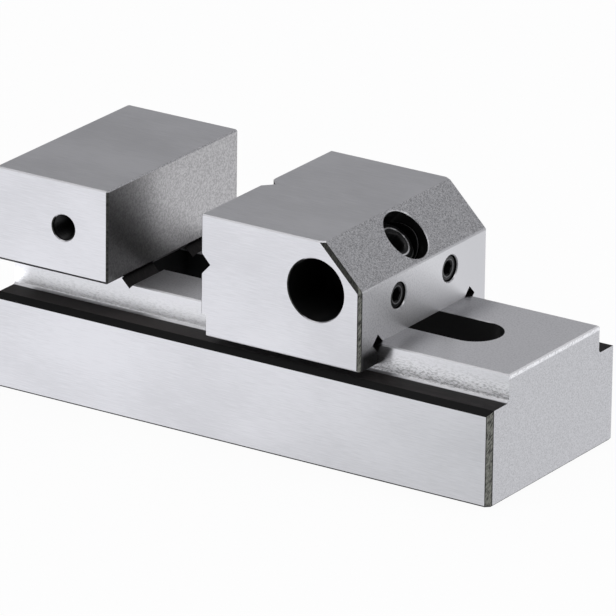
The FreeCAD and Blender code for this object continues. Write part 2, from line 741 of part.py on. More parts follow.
def place_swivel_parts(trunnion, screw, pin):
    """Hangs trunnion, screw and pin on the slack screw line, the pin below its notch."""
    centre, slack_angle, slack_arm, _ = swivel_facts()
    turned_down = FreeCAD.Rotation(FreeCAD.Vector(0, 1, 0), 90 - slack_angle)
    towards_head = turned_down.multVec(FreeCAD.Vector(0, 0, 1))
    trunnion.Placement = FreeCAD.Placement(centre, turned_down)
    screw.Placement = FreeCAD.Placement(centre + towards_head * size("head_seat"), turned_down)
    pin.Placement = FreeCAD.Placement(centre - towards_head * slack_arm, turned_down)


def check_model(bodies):
    """Stops if any object failed or any piece is not one sound solid."""
    for item in doc.Objects:
        if {"Invalid", "Error"} & set(item.State):
            raise RuntimeError(f"{item.Name} failed: {item.State}")
    for body in bodies:
        shape = body.Shape
        if shape.isNull() or not shape.isValid() or len(shape.Solids) != 1:
            raise RuntimeError(f"{body.Label} is not one sound solid")


def write_parts(bodies):
    os.makedirs("parts", exist_ok=True)
    for body in bodies:
        body.Shape.exportStep(f"parts/{body.Label}.step")
        box = body.Shape.BoundBox
        print(f"{body.Label}: volume {body.Shape.Volume:.2f}, X {box.XMin:.2f} {box.XMax:.2f},"
              f" Y {box.YMin:.2f} {box.YMax:.2f}, Z {box.ZMin:.2f} {box.ZMax:.2f}")


def print_motion():
    """The numbers that the joints need: the swivel, the slack and the turns to tighten."""
    centre, slack_angle, slack_arm, tight_arm = swivel_facts()
    turns = (slack_arm - tight_arm) / size("thread_lead")
    print(f"swivel at {centre.x:.3f}, {centre.z:.3f}; slack screw line {slack_angle:.4f} degrees")
    print(f"pin draw {slack_arm - tight_arm:.4f} over {turns:.4f} turns")
    print(f"travel {size('notches_to_close') * size('notch_pitch'):.2f} to close,"
          f" {size('notches_to_open') * size('notch_pitch'):.2f} to open")


vise_body = make_vise_body()
sliding_jaw = make_sliding_jaw()
trunnion = make_trunnion()
clamp_screw = make_clamp_screw()
anchor_pin = make_anchor_pin()
set_screw_front = make_set_screw("set_screw_front", "-")
set_screw_back = make_set_screw("set_screw_back", "")
place_swivel_parts(trunnion, clamp_screw, anchor_pin)
doc.recompute()

pieces = [vise_body, sliding_jaw, trunnion, clamp_screw, anchor_pin, set_screw_front, set_screw_back]
check_model(pieces)
write_parts(pieces)
print_motion()
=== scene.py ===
# %% [markdown]
# # A toolmaker's vise in ground steel
#
# The real thing is a small precision vise: one hardened block with a rail and a fixed jaw, and a
# sliding jaw that a slanted cap screw pulls down and in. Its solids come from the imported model,
# which is loaded first and never moved or changed. This lesson gives them their finish, cuts real
# threads on the screws, and sets up the studio that the photograph was taken in.

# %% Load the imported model
import json
import math

import bpy
from mathutils import Matrix, Vector

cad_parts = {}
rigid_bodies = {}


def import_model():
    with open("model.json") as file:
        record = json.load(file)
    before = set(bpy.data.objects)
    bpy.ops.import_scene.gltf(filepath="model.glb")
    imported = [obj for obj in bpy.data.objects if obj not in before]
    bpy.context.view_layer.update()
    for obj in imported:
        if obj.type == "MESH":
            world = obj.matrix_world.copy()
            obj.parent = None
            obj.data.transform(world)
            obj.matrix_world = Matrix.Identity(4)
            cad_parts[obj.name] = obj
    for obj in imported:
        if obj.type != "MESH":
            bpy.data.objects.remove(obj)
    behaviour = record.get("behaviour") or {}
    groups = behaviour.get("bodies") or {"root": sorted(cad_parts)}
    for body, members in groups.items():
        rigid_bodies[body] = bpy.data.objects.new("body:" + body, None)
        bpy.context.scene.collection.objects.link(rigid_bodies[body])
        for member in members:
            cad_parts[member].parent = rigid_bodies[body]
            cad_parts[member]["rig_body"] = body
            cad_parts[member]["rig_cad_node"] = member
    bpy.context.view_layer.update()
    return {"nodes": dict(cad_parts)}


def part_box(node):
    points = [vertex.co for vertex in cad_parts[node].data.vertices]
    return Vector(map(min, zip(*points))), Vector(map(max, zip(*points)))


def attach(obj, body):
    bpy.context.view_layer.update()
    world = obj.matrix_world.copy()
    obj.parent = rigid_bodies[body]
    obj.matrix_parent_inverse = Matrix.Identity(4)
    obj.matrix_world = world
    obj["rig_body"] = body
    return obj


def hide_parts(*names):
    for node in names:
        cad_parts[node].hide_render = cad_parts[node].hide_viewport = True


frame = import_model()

NODES = frame["nodes"]
MM = 0.001

for name in sorted(NODES):
    low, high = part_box(name)
    print(name, [round(v / MM, 2) for v in low], [round(v / MM, 2) for v in high])

# %% [markdown]
# ## The camera
#
# The photograph is a long-lens catalogue shot, so the vise's parallel edges stay almost parallel.
# A camera could be placed by eye, but a few millimetres would show at every edge. The place, the
# turn and the focal length here were measured from the corners and circles in the photograph.

# %% Camera
CAMERA_PLACE = Vector((0.61974, -0.95212, 0.43646))
CAMERA_RIGHT = Vector((0.8359, 0.5488, 0.0119))
CAMERA_VIEW = Vector((-0.5113, 0.7864, -0.3466))
LENS_MM = 473.2
SENSOR_MM = 36.0

view = CAMERA_VIEW.normalized()
right = (CAMERA_RIGHT - view * CAMERA_RIGHT.dot(view)).normalized()
up = right.cross(view)

bpy.ops.object.camera_add(location=CAMERA_PLACE)
camera = bpy.context.object
camera.name = "studio_camera"
turn = Matrix((right, up, -view)).transposed()
camera.matrix_world = Matrix.Translation(CAMERA_PLACE) @ turn.to_4x4()
camera.data.lens = LENS_MM
camera.data.sensor_width = SENSOR_MM
camera.data.clip_start = 0.05
camera.data.clip_end = 20.0
bpy.context.scene.camera = camera
print("camera looks along", [round(v, 4) for v in view])

# %% [markdown]
# ## The studio
#
# Ground steel has hardly any colour of its own: a face is as light as what it mirrors. In the
# photograph the faces that look down at the table are almost white, and the faces that look up at
# the room behind are mid grey. So the table and the low horizon are bright and the upper room is
# darker. That could be built from many lamps, but a world that changes with height does it evenly
# on all sides, and the vise then looks the same kind of grey from wherever it is seen. Only the
# unlit side of the studio, where the camera stands, is left dark.

# %% World
TABLE_LIGHT = (1.45, 1.45, 1.47)
ROOM_MIST = (0.95, 0.95, 0.97)
ROOM_LOW = (0.305, 0.305, 0.318)
ROOM_HIGH = (0.80, 0.80, 0.83)
UNLIT = (0.05, 0.05, 0.05, 1)
CAMERA_SIDE = (0.545, -0.838)
UNLIT_SPREAD = (0.60, 0.85)

world = bpy.data.worlds.new("studio_room")
bpy.context.scene.world = world
world.use_nodes = True
wires = world.node_tree
wires.nodes.clear()
direction = wires.nodes.new("ShaderNodeTexCoord")
split = wires.nodes.new("ShaderNodeSeparateXYZ")
height = wires.nodes.new("ShaderNodeValToRGB")
rays = wires.nodes.new("ShaderNodeLightPath")
choose = wires.nodes.new("ShaderNodeMix")
choose.data_type = "RGBA"
room = wires.nodes.new("ShaderNodeBackground")
end = wires.nodes.new("ShaderNodeOutputWorld")
stretch = wires.nodes.new("ShaderNodeMapRange")
stretch.inputs["From Min"].default_value = -1.0
wires.links.new(direction.outputs["Generated"], split.inputs[0])
wires.links.new(split.outputs["Z"], stretch.inputs["Value"])
wires.links.new(stretch.outputs[0], height.inputs[0])
marks = height.color_ramp.elements
marks[0].position = 0.49
marks[0].color = (*TABLE_LIGHT, 1)
marks[1].position = 1.0
marks[1].color = (*ROOM_HIGH, 1)
for position, colour in ((0.52, ROOM_MIST), (0.60, ROOM_LOW), (0.68, ROOM_LOW)):
    marks.new(position).color = (*colour, 1)
toward = wires.nodes.new("ShaderNodeVectorMath")
toward.operation = "DOT_PRODUCT"
toward.inputs[1].default_value = (*CAMERA_SIDE, 0.0)
unlit_side = wires.nodes.new("ShaderNodeMapRange")
unlit_side.interpolation_type = "SMOOTHSTEP"
unlit_side.inputs["From Min"].default_value = UNLIT_SPREAD[0]
unlit_side.inputs["From Max"].default_value = UNLIT_SPREAD[1]
walls = wires.nodes.new("ShaderNodeMix")
walls.data_type = "RGBA"
walls.inputs[7].default_value = UNLIT
wires.links.new(direction.outputs["Generated"], toward.inputs[0])
wires.links.new(toward.outputs["Value"], unlit_side.inputs["Value"])
wires.links.new(unlit_side.outputs[0], walls.inputs[0])
wires.links.new(height.outputs[0], walls.inputs[6])
wires.links.new(rays.outputs["Is Camera Ray"], choose.inputs[0])
wires.links.new(walls.outputs[2], choose.inputs[6])
choose.inputs[7].default_value = (1, 1, 1, 1)
wires.links.new(choose.outputs[2], room.inputs[0])
wires.links.new(room.outputs[0], end.inputs[0])
print("world has", len(wires.nodes), "nodes")

# %% [markdown]
# ## The lamps
#
# A large soft box above and in front of the vise draws a light line along the small breaks on its
# front edges, a wide one overhead lifts the tops, and a third lights the open end. Soft boxes are
# area lamps: their size blurs the edge of every shadow and shows as a broad glow, never as a point,
# in the steel.

# %% Lamps
def soft_box(name, place, aim, width, depth, watts):
    """An area lamp that points from its place at an aim point."""
    bpy.ops.object.light_add(type="AREA", location=place)
    lamp = bpy.context.object
    lamp.name = name
    lamp.data.shape = "RECTANGLE"
    lamp.data.size = width
    lamp.data.size_y = depth
    lamp.data.energy = watts
    look = (Vector(aim) - Vector(place)).to_track_quat("-Z", "Y")
    lamp.rotation_euler = look.to_euler()
    return lamp


MIDDLE = (0.0, 0.0, 0.015)
soft_box("front_box", (-0.45, -0.55, 0.75), MIDDLE, 0.45, 0.35, 0.8)
soft_box("top_box", (0.10, 0.20, 1.00), MIDDLE, 0.60, 0.60, 1.6)
soft_box("end_box", (0.85, -0.05, 0.45), MIDDLE, 0.35, 0.35, 1.0)

# %% [markdown]
# ## The floor
#
# The catalogue picture stands on pure white. A white floor would need far more light than the
# vise does, so the floor itself answers white to the camera and to the steel that mirrors it, and
# stays an ordinary pale surface for the rest of the light. The table is brightest at the fixed
# jaw's end and falls off towards the open end, most of all near the camera, which gives the long
# faces their slow gradient. A dark card lies on the table under the camera and shows in the steel
# only: faces that meet in a corner mirror each other twice and send the view back to it, which
# makes every inner corner deep. From below the floor is clear, so that the underside of the vise
# can be looked at.

# %% Floor
FLOOR_COLOUR = (0.86, 0.86, 0.87, 1)
FLOOR_SHARE = 0.05
TABLE_FULL = (1.84, 1.85, 1.93, 1)
TABLE_DIM = (1.36, 1.37, 1.41, 1)
TABLE_NEAR = (1.10, 1.13, 1.16, 1)
TABLE_BRIGHT_X = -0.045
TABLE_DIM_X = 0.05
NEAR_X = (0.0, 0.030)
NEAR_Y = (0.012, 0.040)
CARD_COLOUR = (0.06, 0.06, 0.06, 1)
CARD_START = (0.021, -0.0126)
CARD_SPREAD = 0.30
CARD_SOFT_SIDE = 0.008
CARD_SOFT_FRONT = (0.030, 0.040)

bpy.ops.mesh.primitive_plane_add(size=4.0, location=(0, 0, -0.0002))
floor = bpy.context.object
floor.name = "floor"
paint = bpy.data.materials.new("pale_floor")
paint.use_nodes = True
wires = paint.node_tree
wires.nodes.clear()
rays = wires.nodes.new("ShaderNodeLightPath")
seen = wires.nodes.new("ShaderNodeMath")
seen.operation = "MAXIMUM"
share = wires.nodes.new("ShaderNodeMath")
share.operation = "MULTIPLY"
share.inputs[1].default_value = 1.0 - FLOOR_SHARE
plain = wires.nodes.new("ShaderNodeBsdfDiffuse")
plain.inputs["Color"].default_value = FLOOR_COLOUR
bright = wires.nodes.new("ShaderNodeEmission")
place = wires.nodes.new("ShaderNodeTexCoord")
split = wires.nodes.new("ShaderNodeSeparateXYZ")
fall = wires.nodes.new("ShaderNodeMapRange")
fall.interpolation_type = "SMOOTHSTEP"
fall.inputs["From Min"].default_value = TABLE_BRIGHT_X
fall.inputs["From Max"].default_value = TABLE_DIM_X
table = wires.nodes.new("ShaderNodeMix")
table.data_type = "RGBA"
table.inputs[6].default_value = TABLE_FULL
table.inputs[7].default_value = TABLE_DIM
shown = wires.nodes.new("ShaderNodeMix")
shown.data_type = "RGBA"
shown.inputs[6].default_value = (1, 1, 1, 1)
wires.links.new(place.outputs["Object"], split.inputs[0])
wires.links.new(split.outputs["X"], fall.inputs["Value"])
wires.links.new(fall.outputs[0], table.inputs[0])
card = wires.nodes.new("ShaderNodeMix")
card.data_type = "RGBA"
card.inputs[7].default_value = CARD_COLOUR


def wire_math(operation, *values):
    node = wires.nodes.new("ShaderNodeMath")
    node.operation = operation
    for socket, value in zip(node.inputs, values):
        if isinstance(value, bpy.types.NodeSocket):
            wires.links.new(value, socket)
        else:
            socket.default_value = value
    return node.outputs[0]


def smooth_step(value, start, stop):
    node = wires.nodes.new("ShaderNodeMapRange")
    node.interpolation_type = "SMOOTHSTEP"
    node.inputs["From Min"].default_value = start
    node.inputs["From Max"].default_value = stop
    wires.links.new(value, node.inputs["Value"])
    return node.outputs[0]


from_x = wire_math("SUBTRACT", split.outputs["X"], CARD_START[0])
from_y = wire_math("SUBTRACT", split.outputs["Y"], CARD_START[1])
forward = wire_math(
    "ADD", wire_math("MULTIPLY", from_x, CAMERA_SIDE[0]),
    wire_math("MULTIPLY", from_y, CAMERA_SIDE[1]),
)
sideways = wire_math(
    "SUBTRACT", wire_math("MULTIPLY", from_y, CAMERA_SIDE[0]),
    wire_math("MULTIPLY", from_x, CAMERA_SIDE[1]),
)
outside = wire_math(
    "SUBTRACT", wire_math("ABSOLUTE", sideways), wire_math("MULTIPLY", forward, CARD_SPREAD),
)
on_card = wire_math(
    "MULTIPLY", wire_math("SUBTRACT", 1.0, smooth_step(outside, 0.0, CARD_SOFT_SIDE)),
    smooth_step(forward, *CARD_SOFT_FRONT),
)
wires.links.new(on_card, card.inputs[0])
near = wires.nodes.new("ShaderNodeMix")
near.data_type = "RGBA"
near.inputs[7].default_value = TABLE_NEAR
near_right = wire_math(
    "MULTIPLY", smooth_step(wire_math("MULTIPLY", split.outputs["Y"], -1.0), *NEAR_Y),
    smooth_step(split.outputs["X"], *NEAR_X),
)
wires.links.new(near_right, near.inputs[0])
wires.links.new(table.outputs[2], near.inputs[6])
wires.links.new(near.outputs[2], card.inputs[6])
wires.links.new(rays.outputs["Is Glossy Ray"], shown.inputs[0])
wires.links.new(card.outputs[2], shown.inputs[7])
wires.links.new(shown.outputs[2], bright.inputs["Color"])
either = wires.nodes.new("ShaderNodeMixShader")
side = wires.nodes.new("ShaderNodeNewGeometry")
clear = wires.nodes.new("ShaderNodeBsdfTransparent")
both = wires.nodes.new("ShaderNodeMixShader")
end = wires.nodes.new("ShaderNodeOutputMaterial")
wires.links.new(rays.outputs["Is Camera Ray"], seen.inputs[0])
wires.links.new(rays.outputs["Is Glossy Ray"], seen.inputs[1])
wires.links.new(seen.outputs[0], share.inputs[0])
wires.links.new(share.outputs[0], either.inputs[0])
wires.links.new(plain.outputs[0], either.inputs[1])
wires.links.new(bright.outputs[0], either.inputs[2])
wires.links.new(side.outputs["Backfacing"], both.inputs[0])
wires.links.new(either.outputs[0], both.inputs[1])
wires.links.new(clear.outputs[0], both.inputs[2])
wires.links.new(both.outputs[0], end.inputs[0])
floor.data.materials.append(paint)
print("floor is", [round(v, 2) for v in floor.dimensions])

# %% [markdown]
# ## A bench for materials
#
# Every finish below is a small net of nodes. Wiring each one by hand would bury the idea in
# bookkeeping, so this class lays out nodes with one short call each. A value that is handed over
# may be a plain number or the output of another node.

# %% Wiring helper
class Finish:
    """One material under construction."""

    def __init__(self, name):
        self.material = bpy.data.materials.new(name)
        self.material.use_nodes = True
        self.tree = self.material.node_tree
        self.tree.nodes.clear()
        self.skin = self.put("ShaderNodeBsdfPrincipled")
        end = self.put("ShaderNodeOutputMaterial")
        self.tree.links.new(self.skin.outputs[0], end.inputs[0])
        where = self.put("ShaderNodeTexCoord")
        self.place = self.vector("SCALE", where.outputs["Object"], scale=1 / MM)
        self.x, self.y, self.z = self.split(self.place)
        self.nx, self.ny, self.nz = self.split(where.outputs["Normal"])
        self.beside = self.math("ABSOLUTE", self.y)
        self.facing_side = self.math("ABSOLUTE", self.ny)

    def put(self, kind):
        return self.tree.nodes.new(kind)

    def feed(self, socket, value):
        if isinstance(value, bpy.types.NodeSocket):
            self.tree.links.new(value, socket)
        else:
            socket.default_value = value

    def split(self, value):
        node = self.put("ShaderNodeSeparateXYZ")
        self.feed(node.inputs[0], value)
        return node.outputs[0], node.outputs[1], node.outputs[2]

    def join(self, x, y, z):
        node = self.put("ShaderNodeCombineXYZ")
        for socket, value in zip(node.inputs, (x, y, z)):
            self.feed(socket, value)
        return node.outputs[0]

    def math(self, operation, *values):
        node = self.put("ShaderNodeMath")
        node.operation = operation
        for socket, value in zip(node.inputs, values):
            self.feed(socket, value)
        return node.outputs[0]

    def vector(self, operation, first, second=None, scale=None):
        node = self.put("ShaderNodeVectorMath")
        node.operation = operation
        self.feed(node.inputs[0], first)
        if second is not None:
            self.feed(node.inputs[1], second)
        if scale is not None:
            self.feed(node.inputs["Scale"], scale)
        return node.outputs[0]

    def above(self, value, edge, soft=0.02):
        """Goes from 0 to 1 as the value passes the edge."""
        node = self.put("ShaderNodeMapRange")
        node.interpolation_type = "SMOOTHSTEP"
        self.feed(node.inputs["Value"], value)
        node.inputs["From Min"].default_value = edge - soft
        node.inputs["From Max"].default_value = edge + soft
        return node.outputs[0]

    def below(self, value, edge, soft=0.02):
        return self.math("SUBTRACT", 1.0, self.above(value, edge, soft))

    def all_of(self, *masks):
        made = masks[0]
        for mask in masks[1:]:
            made = self.math("MULTIPLY", made, mask)
        return made

    def any_of(self, *masks):
        made = masks[0]
        for mask in masks[1:]:
            made = self.math("MAXIMUM", made, mask)
        return made

    def stretch(self, x, y, z):
        return self.vector("MULTIPLY", self.place, (x, y, z))

    def noise(self, vector, scale, detail=2.0, roughness=0.5):
        node = self.put("ShaderNodeTexNoise")
        self.feed(node.inputs["Vector"], vector)
        node.inputs["Scale"].default_value = scale
        node.inputs["Detail"].default_value = detail
        node.inputs["Roughness"].default_value = roughness
        return node.outputs[0]

    def blend(self, factor, first, second):
        """A colour between two others."""
        node = self.put("ShaderNodeMix")
        node.data_type = "RGBA"
        self.feed(node.inputs[0], factor)
        self.feed(node.inputs[6], first)
        self.feed(node.inputs[7], second)
        return node.outputs[2]

    def shade(self, colour, share):
        """The same colour, lighter or darker."""
        return tuple(min(1.0, part * share) for part in colour[:3]) + (1,)

    def between(self, factor, first, second):
        """A number between two others."""
        node = self.put("ShaderNodeMix")
        self.feed(node.inputs[0], factor)
        self.feed(node.inputs[2], first)
        self.feed(node.inputs[3], second)
        return node.outputs[0]

    def bump(self, height, depth_mm):
        node = self.put("ShaderNodeBump")
        node.inputs["Strength"].default_value = 1.0
        node.inputs["Distance"].default_value = depth_mm * MM
        self.feed(node.inputs["Height"], height)
        self.feed(self.skin.inputs["Normal"], node.outputs[0])

    def brush(self, amount, smear):
        """Smears reflections along one direction, as a surface full of fine parallel lines does."""
        self.feed(self.skin.inputs["Anisotropic"], amount)
        self.feed(self.skin.inputs["Tangent"], smear)

    def distance(self, across, up, across_middle, up_middle):
        """How far a point is from a line along the third axis."""
        side = self.math("SUBTRACT", across, across_middle)
        rise = self.math("SUBTRACT", up, up_middle)
        square = self.math("ADD", self.math("MULTIPLY", side, side), self.math("MULTIPLY", rise, rise))
        return self.math("SQRT", square)


print("wiring helper ready")

# %% [markdown]
# ## Ground steel
#
# A surface grinder leaves fine straight scratches along its stroke. On this vise they run along
# the block on its long faces and tops, and are short and crossed on the ends and on the slope.
# Stretched noise gives such a grain: the same noise is read with one axis squeezed. The grain
# moves the colour a little, the gloss a little more, and tilts the surface by a hair. The scratches
# themselves are finer than any picture: they show as reflections that stay sharp along the stroke
# and smear across it, so the shader is told which way to smear.

# %% Ground steel
STEEL = (0.555, 0.555, 0.568, 1)
STEEL_SHADE = (0.475, 0.475, 0.486, 1)
STEEL_PALE = (0.80, 0.80, 0.81, 1)
STEEL_DEEP = (0.56, 0.56, 0.57, 1)
STEEL_PIT = (0.40, 0.40, 0.41, 1)


def ground_steel(finish):
    """Colour, roughness and grain height of ground steel, before anything darkens it."""
    long_grain = finish.noise(finish.stretch(0.3, 6.0, 6.0), 1.0, 4.0, 0.7)
    short_grain = finish.noise(finish.stretch(4.5, 2.2, 4.2), 1.3, 3.0, 0.65)
    across = finish.above(finish.math("ABSOLUTE", finish.nx), 0.4, 0.05)
    grain = finish.between(across, long_grain, short_grain)
    cloud = finish.noise(finish.stretch(0.05, 0.09, 0.09), 1.0, 2.0)
    long_tone = finish.above(finish.between(0.4, long_grain, cloud), 0.5, 0.13)
    short_tone = finish.above(short_grain, 0.5, 0.12)
    tone = finish.between(across, long_tone, short_tone)
    colour = finish.blend(tone, STEEL_SHADE, STEEL)
    up = finish.above(finish.math("ABSOLUTE", finish.nz), 0.6, 0.05)
    slope = finish.all_of(across, up)
    colour = finish.blend(slope, colour, finish.blend(short_tone, STEEL_DEEP, STEEL_PALE))
    roughness = finish.between(grain, 0.30, 0.38)
    speck = finish.noise(finish.stretch(1.0, 1.0, 1.0), 4.2, 2.0, 0.6)
    colour = finish.blend(finish.all_of(across, finish.below(speck, 0.44, 0.06)), colour, STEEL_PIT)
    roughness = finish.between(across, roughness, finish.between(grain, 0.32, 0.42))
    smear = finish.join(0.0, up, finish.math("SUBTRACT", 1.0, up))
    finish.brush(0.97, smear)
    return colour, roughness, grain


# %% [markdown]
# ## Blackened and cut surfaces
#
# The tops of the strap grooves, the slots, reliefs, bores and the hand-filed corner bevels were
# never ground bright. They keep a dark, slightly oily finish, and the bevels show slanted file
# marks. A mask says where each one is, from the place of a point and the way its surface faces.
# Some ground faces get painted shade and light: the clamp faces are darkened with painted shade, the
# tops of the rail and the lower halves of its sides get painted light, and the small edge breaks and
# the break along the rail's open end get a painted highlight.

# %% Dark finishes on steel
BLACKENED = (0.012, 0.011, 0.011, 1)
BLACKENED_WORN = (0.030, 0.026, 0.025, 1)
BLACKENED_PALE = (0.036, 0.032, 0.031, 1)
BORE_BLACK = (0.006, 0.006, 0.006, 1)
FILED = (0.36, 0.365, 0.32, 1)
FILED_DARK = (0.07, 0.07, 0.065, 1)
FILED_RIM = (0.02, 0.02, 0.02, 1)
MILLED = (0.60, 0.60, 0.61, 1)
# Painted light on the lower half of the rail's sides.
MILLED_LOW_PAINTED_LIGHT = (0.97, 0.97, 0.975, 1)
MILLED_PIT = (0.44, 0.44, 0.44, 1)
# Painted shade: the clamp faces and the foot of the jaw's near leg are darkened to these tones.
FIXED_CLAMPING_PAINTED_SHADE = (0.31, 0.305, 0.305, 1)
SLIDING_CLAMPING_PAINTED_SHADE = (0.10, 0.10, 0.10, 1)
# Painted light on the tops of the rail.
RAIL_TOP_PAINTED_LIGHT = (0.66, 0.66, 0.675, 1)
POCKET = (0.34, 0.34, 0.345, 1)
# Painted highlight on the break along the rail's open end.
END_BREAK_PAINTED_HIGHLIGHT = (0.85, 0.85, 0.86, 1)
END_X = 40.0
END_Z = 18.8
RAIL_LOW_Z = 17.4
PITTED_Z = 18.0
PITTED_X = 12.0
PALE_FLANGE_X = -4.0
PALE_FLANGE_Z = 15.3
RIM_WIDTH = 0.14
# Painted light on the jaw's rear face, strongest on the camera's side.
REAR_PAINTED_LIGHT_NEAR = (0.70, 0.70, 0.71, 1)
REAR_PAINTED_LIGHT_FAR = (0.56, 0.56, 0.57, 1)
# Painted highlight on the small edge breaks.
EDGE_PAINTED_HIGHLIGHT = (0.60, 0.60, 0.61, 1)


def dress_steel(finish, black, bore, filed, bevel, milled, edge, painted_shade_mask, painted_shade_tone, tone_and_painted_light, tone_and_painted_light_colour):
    """Puts ground steel together with the other finishes that the masks ask for."""
    colour, roughness, grain = ground_steel(finish)
    metal = 1.0
    # The tone mask gives the pocket its own milled grey, the rail top and the jaw's rear face painted
    # light, and the top band of the rail's open end a painted highlight.
    fleck = finish.noise(finish.place, 3.4, 3.0, 0.65)
    flecked_tone_and_painted_light = finish.blend(finish.below(fleck, 0.45, 0.1), tone_and_painted_light_colour, STEEL)
    colour = finish.blend(tone_and_painted_light, colour, flecked_tone_and_painted_light)
    # Painted shade on the clamp faces and on the foot of the jaw's near leg.
    painted_shade_colour = finish.blend(
        finish.above(fleck, 0.5, 0.16), finish.shade(painted_shade_tone, 0.78), finish.shade(painted_shade_tone, 1.22),
    )
    colour = finish.blend(painted_shade_mask, colour, painted_shade_colour)
    roughness = finish.between(painted_shade_mask, roughness, 0.30)

    tool_marks = finish.noise(finish.stretch(1.1, 1.6, 3.4), 1.5, 4.0, 0.72)
    deep_marks = finish.below(tool_marks, 0.47, 0.07)
    low_half = finish.below(finish.z, PITTED_Z, 1.8)
    pits = finish.math("MULTIPLY", deep_marks, finish.math("ADD", 0.35, low_half))
    toward_end = finish.above(finish.x, PITTED_X, 12.0)
    pits = finish.math("MULTIPLY", pits, finish.between(toward_end, 0.3, 0.65))
    # Painted light makes the lower half of the rail's sides lighter.
    milled_painted_light_tone = finish.blend(finish.below(finish.z, RAIL_LOW_Z, 1.6), MILLED, MILLED_LOW_PAINTED_LIGHT)
    colour = finish.blend(milled, colour, finish.blend(pits, milled_painted_light_tone, MILLED_PIT))
    roughness = finish.between(milled, roughness, finish.between(tool_marks, 0.24, 0.36))
    grain = finish.between(milled, grain, finish.math("MULTIPLY", tool_marks, 0.2))

    # Painted highlight: the small edge breaks are made a little lighter.
    colour = finish.blend(finish.math("MULTIPLY", edge, 0.5), colour, EDGE_PAINTED_HIGHLIGHT)
    # Painted highlight: the top break at the rail's open end is made nearly white and dull.
    end_bevel = finish.all_of(
        finish.above(finish.nx, 0.4, 0.05), finish.above(finish.nz, 0.4, 0.05),
        finish.above(finish.x, END_X), finish.above(finish.z, END_Z),
    )
    colour = finish.blend(end_bevel, colour, END_BREAK_PAINTED_HIGHLIGHT)
    metal = finish.between(end_bevel, metal, 0.2)

    over = finish.math("MULTIPLY", finish.math("SUBTRACT", finish.math("ABSOLUTE", finish.x),
                                               finish.beside), math.sqrt(0.5))
    cut_across = finish.math("SUBTRACT", finish.math("MULTIPLY", over, 5.0),
                             finish.math("MULTIPLY", finish.z, 2.2))
    cut_along = finish.math("ADD", finish.math("MULTIPLY", over, 0.4),
                            finish.math("MULTIPLY", finish.z, 0.9))
    streaks = finish.noise(finish.join(cut_across, cut_along, 0.0), 1.0, 3.0, 0.6)
    filed_colour = finish.blend(finish.above(streaks, 0.48, 0.14), FILED_DARK, FILED)
    middle, half = bevel
    from_middle = finish.math("ABSOLUTE", finish.math("SUBTRACT", over, middle))
    rim = finish.above(from_middle, half - RIM_WIDTH, 0.06)
    filed_colour = finish.blend(finish.math("MULTIPLY", rim, 0.8), filed_colour, FILED_RIM)
    colour = finish.blend(filed, colour, filed_colour)
    roughness = finish.between(filed, roughness, 0.55)

    worn = finish.noise(finish.stretch(0.25, 1.2, 1.2), 1.3, 4.0, 0.65)
    black_colour = finish.blend(finish.above(worn, 0.58, 0.2), BLACKENED, BLACKENED_WORN)
    pale_flange = finish.all_of(
        finish.below(finish.x, PALE_FLANGE_X, 18.0), finish.below(finish.z, PALE_FLANGE_Z),
        finish.above(finish.nz, 0.9),
    )
    black_colour = finish.blend(pale_flange, black_colour, BLACKENED_PALE)
    colour = finish.blend(black, colour, black_colour)
    roughness = finish.between(black, roughness, 0.42)

    colour = finish.blend(bore, colour, BORE_BLACK)
    roughness = finish.between(bore, roughness, 0.5)
    dark = finish.any_of(black, bore, finish.math("MULTIPLY", filed, 0.6))
    metal = finish.between(dark, metal, 0.0)

    finish.feed(finish.skin.inputs["Base Color"], colour)
    finish.feed(finish.skin.inputs["Roughness"], roughness)
    finish.feed(finish.skin.inputs["Metallic"], metal)
    finish.skin.inputs["Specular IOR Level"].default_value = 0.12
    finish.bump(grain, 0.006)


# %% [markdown]
# ## Finish of the block
#
# On the block the dark places are the tops and bevels of the strap grooves, the slanted relief in
# front of the fixed jaw, the screw slot and the stop holes. The pocket and its notches under the
# rail are milled grey. The upright corners are filed, and the sides of the rail are milled bright,
# with painted light on their lower half. The clamp face gets painted shade, the rail top painted
# light, and the break at the rail's open end a painted highlight.

# %% Block finish
FLANGE_TOP = 15.1
RAIL_SIDE = 12.6
RAIL_TOP = 19.45
GROOVE_CEILING = 20.45
HALF_WIDTH = 17.5
JAW_FACE = -23.7
STOP_HOLE = (-31.7, 28.0)
SLOT_HALF = 4.42
SLOT_REACH = 35.5
POCKET_HALF = 10.05
POCKET_REACH = 36.4
POCKET_CEILING = 10.65
NOTCH_TOP = 13.2
BREAK_HEIGHT = 0.75


